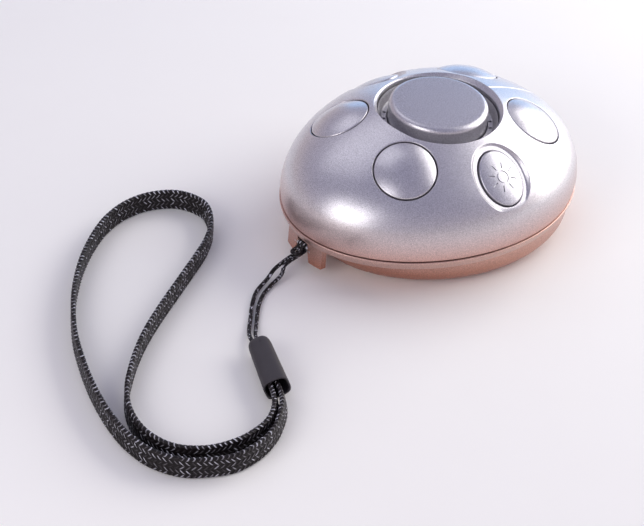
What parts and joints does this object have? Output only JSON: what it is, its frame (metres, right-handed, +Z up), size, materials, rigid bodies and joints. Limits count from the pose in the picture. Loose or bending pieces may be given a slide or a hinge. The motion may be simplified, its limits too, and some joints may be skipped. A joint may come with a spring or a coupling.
{
  "type": "portable carbon monoxide alarm",
  "caption": "Palm-size egg-shaped carbon monoxide alarm with a domed silver case, pressable spots, a sound ring, a torch window and a wrist strap.",
  "frame": {"origin": "centre of the flat underside, at the middle of the case's length and width, leaving out the strap", "axes": "+X towards the tail with the torch window, -X towards the nose with the strap lug, +Z up through the centre button"},
  "size_m": [0.1599, 0.0959, 0.0368],
  "materials": {
    "silver_paint": "fine metallic silver paint with a slight orange peel",
    "silver_button": "fine metallic silver paint",
    "silver_base": "fine metallic silver paint",
    "ring_plastic": "metallic silver paint, satin",
    "circuit_board": "green solder mask",
    "bright_steel": "bright plated steel",
    "cell_jacket": "printed metal jacket, plain",
    "tin_can": "tinned steel can",
    "black_plastic": "moulded black plastic",
    "capacitor_sleeve": "shrink sleeve",
    "red_lens": "tinted clear epoxy",
    "gasket_rubber": "closed-cell foam",
    "clear_lens": "clear moulded lens",
    "crimp_plastic": "dark grey moulded plastic, matt",
    "strap_nylon": "braided black nylon with glossy threads"
  },
  "bodies": {
    "root": {"battery_left": "cell_jacket", "battery_right": "cell_jacket", "battery_spring_left": "bright_steel", "board_screw_1": "bright_steel", "board_screw_2": "bright_steel", "bottom_shell": "silver_base", "capacitor": "capacitor_sleeve", "case_screw_1": "bright_steel", "case_screw_2": "bright_steel", "case_screw_3": "bright_steel", "co_sensor": "tin_can", "contact_front": "bright_steel", "contact_rear": "bright_steel", "controller_chip": "black_plastic", "lug_pin": "bright_steel", "main_board": "circuit_board", "mode_switch": "tin_can", "mode_switch_board": "circuit_board", "sensor_gasket": "gasket_rubber", "sound_ring": "ring_plastic", "sounder": "black_plastic", "spot_cap_1": "silver_paint", "spot_cap_2": "silver_paint", "spot_cap_3": "silver_paint", "spot_cap_4": "silver_paint", "status_led": "red_lens", "strap_cord": "strap_nylon", "strap_crimp": "crimp_plastic", "test_switch": "tin_can", "top_shell": "silver_paint", "torch_led_1": "clear_lens", "torch_led_2": "clear_lens", "torch_lens": "clear_lens", "torch_switch": "tin_can", "torch_switch_board": "circuit_board", "wrist_strap": "strap_nylon"},
    "centre": {"centre_button": "silver_button", "test_switch_plunger": "black_plastic"},
    "torch_key": {"torch_button": "silver_button", "torch_switch_plunger": "black_plastic"},
    "mode_key": {"mode_button": "silver_button", "mode_switch_plunger": "black_plastic"},
    "door": {"battery_door": "silver_base"}
  },
  "joints": [
    {"name": "centre_press", "type": "slide", "parent": "root", "child": "centre", "axis": [0, 0, -1], "range_m": [0, 0.001], "stiffness_N_per_m": 1500},
    {"name": "torch_press", "type": "slide", "parent": "root", "child": "torch_key", "axis": [0.0129, 0.6208, -0.7838], "range_m": [0, 0.0008], "stiffness_N_per_m": 1500},
    {"name": "mode_press", "type": "slide", "parent": "root", "child": "mode_key", "axis": [0.0129, -0.6208, -0.7838], "range_m": [0, 0.0008], "stiffness_N_per_m": 1500},
    {"name": "door_slide", "type": "slide", "parent": "root", "child": "door", "axis": [-1, 0, 0], "range_m": [0, 0.01]}
  ]
}
